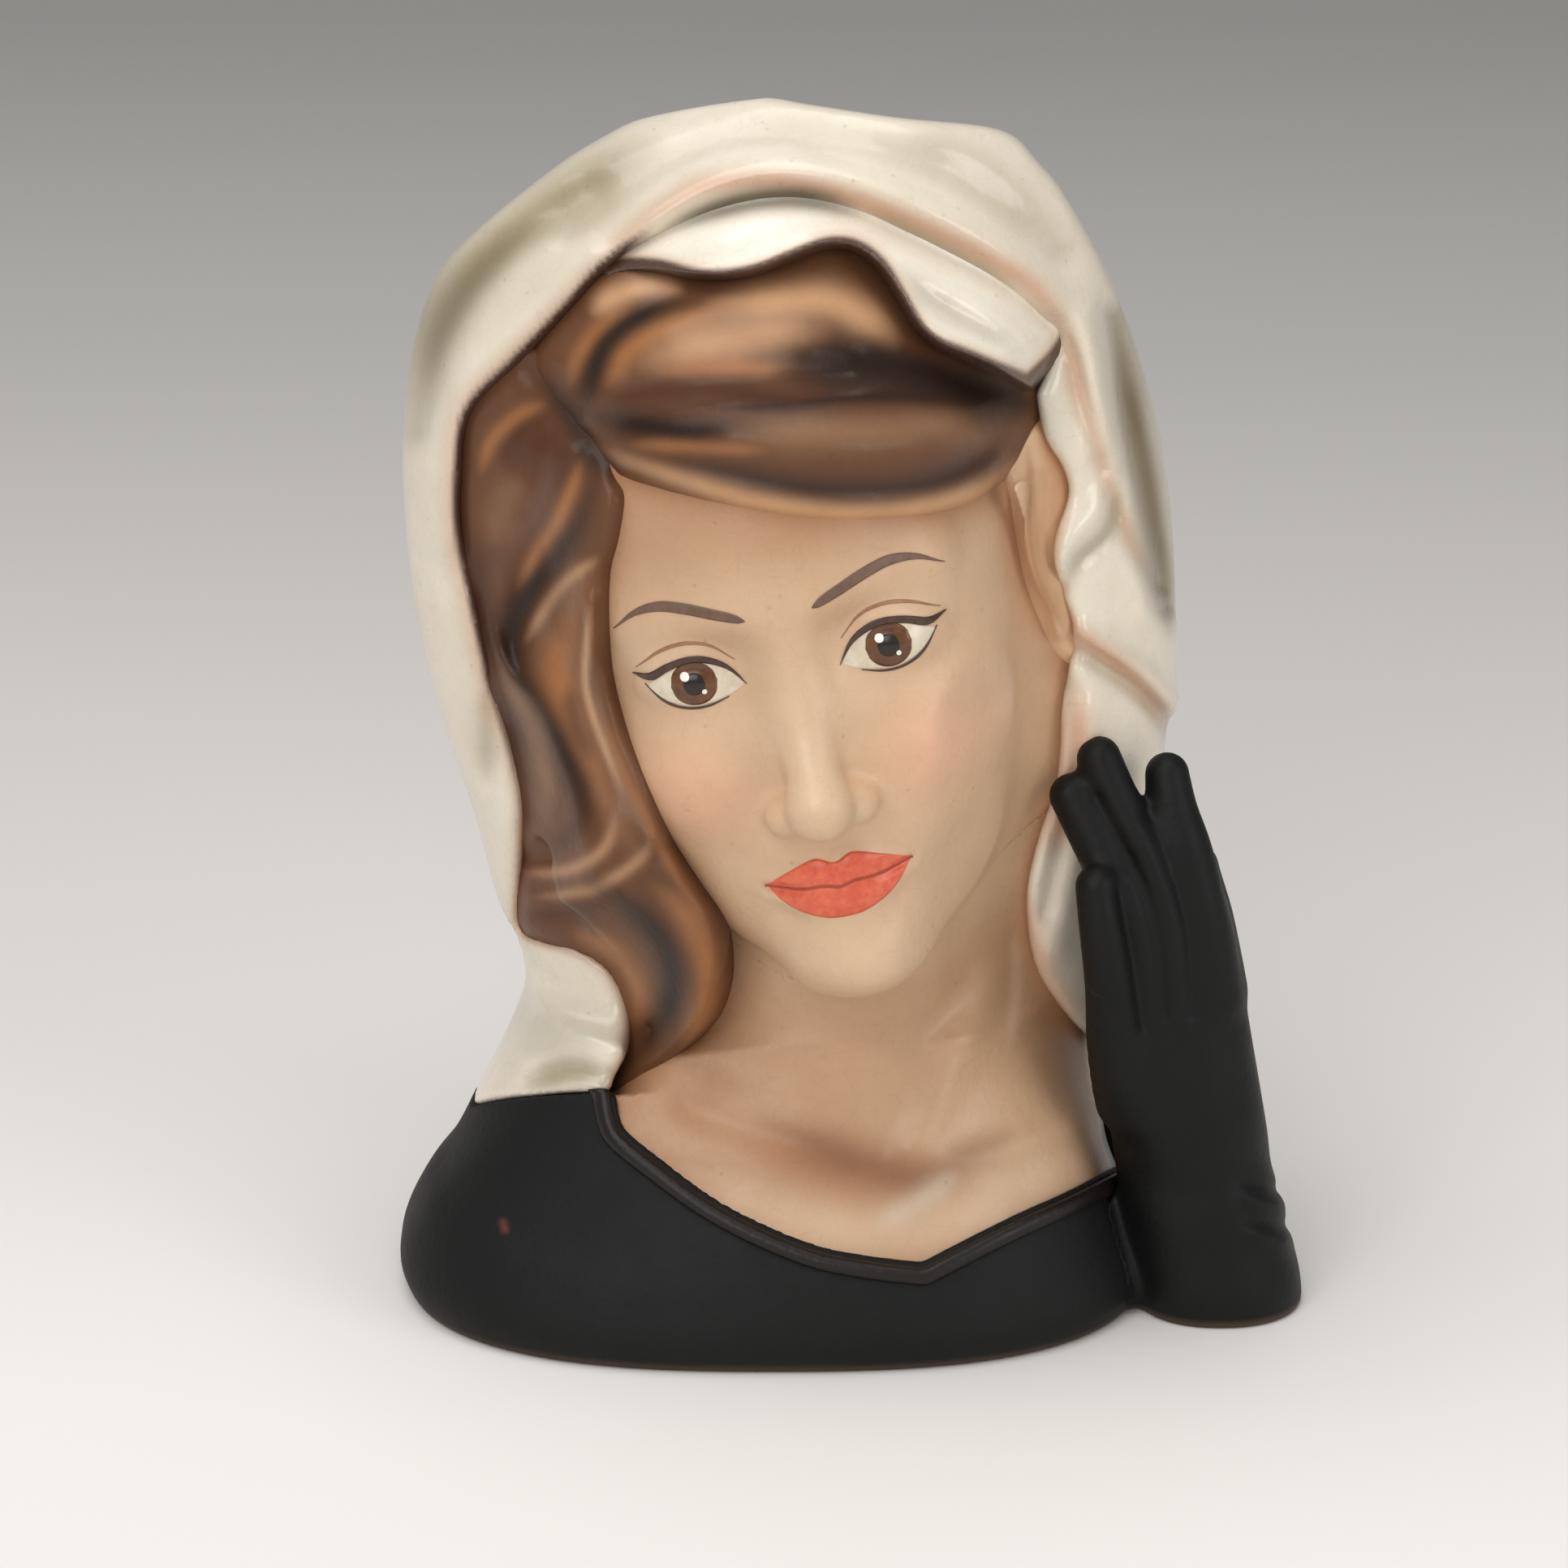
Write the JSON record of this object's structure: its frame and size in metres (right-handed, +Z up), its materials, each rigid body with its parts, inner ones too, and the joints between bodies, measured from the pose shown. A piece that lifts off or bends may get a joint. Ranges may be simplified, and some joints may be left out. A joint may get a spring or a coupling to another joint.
{
  "type": "face vase",
  "caption": "Hollow ceramic flower vase shaped as a hooded head and bust, with a flat foot, a sloping mouth at the back of the hood and a gloved arm on one side.",
  "frame": {"origin": "centre of the bust's flat foot, on the surface that the vase stands on", "axes": "+Z up, the face looks along -Y, +X towards the gloved arm"},
  "size_m": [0.1122, 0.0843, 0.1524],
  "materials": {
    "dress": "matte black cold paint over fired clay",
    "neckline": "slightly glossy black paint on a raised band",
    "scarf": "glossy cream glaze with tan airbrushing in the folds",
    "face": "satin skin glaze with painted eyes, brows and lips",
    "skin": "satin skin glaze with brown airbrushed shading",
    "hair": "airbrushed brown with darker grooves",
    "glove": "matte black cold paint with worn specks"
  },
  "bodies": {
    "root": {"bust": "dress", "neckline_band": "neckline", "hood": "scarf", "head": "face", "neck_and_chest": "skin", "fringe": "hair", "scarf_fold": "scarf", "side_hair": "hair", "right_strands": "hair", "gloved_arm": "glove"}
  },
  "joints": []
}
